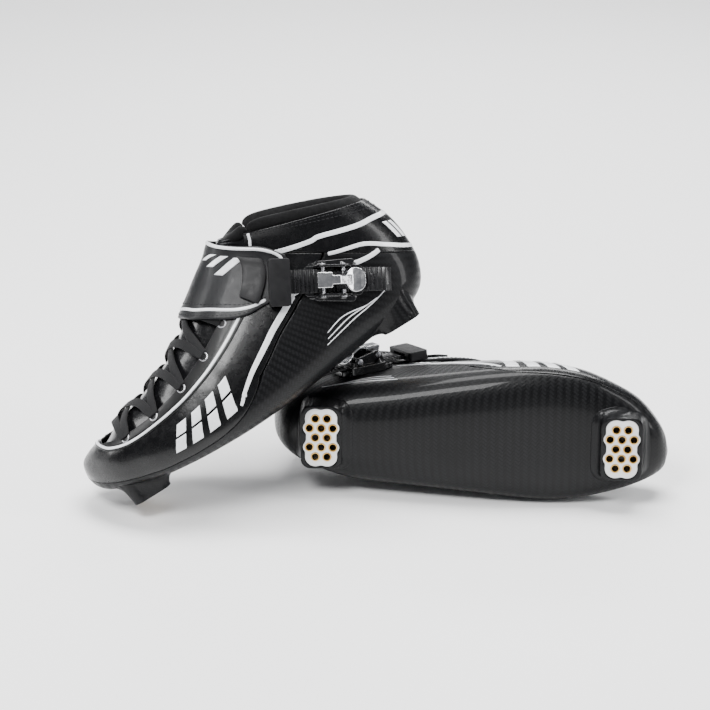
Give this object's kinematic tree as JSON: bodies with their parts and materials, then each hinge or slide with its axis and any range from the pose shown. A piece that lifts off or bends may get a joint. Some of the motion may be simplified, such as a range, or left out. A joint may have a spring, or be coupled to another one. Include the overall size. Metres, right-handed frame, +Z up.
{
  "type": "speed skate boots",
  "caption": "Pair of low-cut carbon speed skate boots with laces, a ratchet-buckle cuff strap and drilled mounting plates for blades or frames.",
  "frame": {"origin": "centre of the bottom of the bounding box of the pair, on the surface that it stands on", "axes": "+X from the left boot's toe towards the right boot's toe, +Z up"},
  "size_m": [0.4259, 0.1735, 0.2145],
  "materials": {
    "carbon": "2x2 twill carbon under a clear coat",
    "plate_white": "satin white mounting plate",
    "brass_insert": "turned brass",
    "leather": "smooth coated leather",
    "lining": "soft knitted lining",
    "insole_foam": "covered foam",
    "tongue_leather": "glossy padded leather",
    "lace_cord": "woven flat lace",
    "trim_silver": "silver reflective film and piping",
    "moulded_plastic": "moulded, fine texture",
    "ladder_plastic": "moulded polyurethane",
    "buckle_plastic": "glass-filled nylon",
    "polished_steel": "polished cast lever",
    "steel": "plated steel"
  },
  "bodies": {
    "right_boot": {"right_carbon_shell": "carbon", "right_front_block": "carbon", "right_rear_block": "carbon", "right_front_plate": "plate_white", "right_rear_plate": "plate_white", "right_plate_inserts": "brass_insert", "right_vamp": "leather", "right_lateral_quarter": "leather", "right_medial_quarter": "leather", "right_ankle_cuff": "leather", "right_liner": "lining", "right_collar_pad": "lining", "right_insole": "insole_foam", "right_tongue": "tongue_leather", "right_lace": "lace_cord", "right_eyelets": "trim_silver", "right_throat_trim": "trim_silver", "right_side_stripes": "trim_silver", "right_cuff_strap": "leather", "right_strap_trim": "trim_silver", "right_holder_pad": "moulded_plastic", "right_strap_holder": "moulded_plastic", "right_strap_rivets": "steel", "right_buckle_base": "buckle_plastic", "right_buckle_pins": "steel", "right_pawl_spring": "steel", "right_buckle_screws": "steel"},
    "right_lever": {"right_buckle_lever": "polished_steel"},
    "right_pawl": {"right_release_pawl": "buckle_plastic"},
    "right_ladder": {"right_ladder_strap": "ladder_plastic"},
    "left_boot": {"left_carbon_shell": "carbon", "left_front_block": "carbon", "left_rear_block": "carbon", "left_front_plate": "plate_white", "left_rear_plate": "plate_white", "left_plate_inserts": "brass_insert", "left_vamp": "leather", "left_lateral_quarter": "leather", "left_medial_quarter": "leather", "left_ankle_cuff": "leather", "left_liner": "lining", "left_collar_pad": "lining", "left_insole": "insole_foam", "left_tongue": "tongue_leather", "left_lace": "lace_cord", "left_eyelets": "trim_silver", "left_throat_trim": "trim_silver", "left_side_stripes": "trim_silver", "left_cuff_strap": "leather", "left_strap_trim": "trim_silver", "left_holder_pad": "moulded_plastic", "left_strap_holder": "moulded_plastic", "left_strap_rivets": "steel", "left_buckle_base": "buckle_plastic", "left_buckle_pins": "steel", "left_pawl_spring": "steel", "left_buckle_screws": "steel"},
    "left_lever": {"left_buckle_lever": "polished_steel"},
    "left_pawl": {"left_release_pawl": "buckle_plastic"},
    "left_ladder": {"left_ladder_strap": "ladder_plastic"}
  },
  "joints": [
    {"name": "left_boot_lift", "type": "slide", "parent": "right_boot", "child": "left_boot", "axis": [0, 0, 1], "range_m": [0, 0.12]},
    {"name": "left_lever_hinge", "type": "hinge", "parent": "left_boot", "child": "left_lever", "pos_m": [-0.03771, -0.03421, 0.17206], "axis": [0.0448, -0.4231, -0.905], "range_deg": [0, 92]},
    {"name": "left_pawl_hinge", "type": "hinge", "parent": "left_boot", "child": "left_pawl", "pos_m": [-0.02325, -0.02906, 0.17036], "axis": [-0.0448, 0.4231, 0.905], "range_deg": [0, 10], "stiffness_Nm_per_rad": 0.05, "springref_deg": -5.73},
    {"name": "left_ladder_slide", "type": "slide", "parent": "left_boot", "child": "left_ladder", "axis": [0.9881, 0.152, -0.0222], "range_m": [-0.004, 0.008]},
    {"name": "right_lever_hinge", "type": "hinge", "parent": "right_boot", "child": "right_lever", "pos_m": [-0.00319, 0.02706, 0.08952], "axis": [-0.4429, 0.87, -0.2168], "range_deg": [0, 92]},
    {"name": "right_pawl_hinge", "type": "hinge", "parent": "right_boot", "child": "right_pawl", "pos_m": [-0.01635, 0.0196, 0.08647], "axis": [0.4429, -0.87, 0.2168], "range_deg": [0, 10], "stiffness_Nm_per_rad": 0.05, "springref_deg": -5.73},
    {"name": "right_ladder_slide", "type": "slide", "parent": "right_boot", "child": "right_ladder", "axis": [-0.8917, -0.4527, 0.0049], "range_m": [-0.004, 0]}
  ],
  "couplings": [
    {"joint": "right_lever_hinge", "follows": "left_boot_lift", "rad_per_m": 13.38}
  ]
}
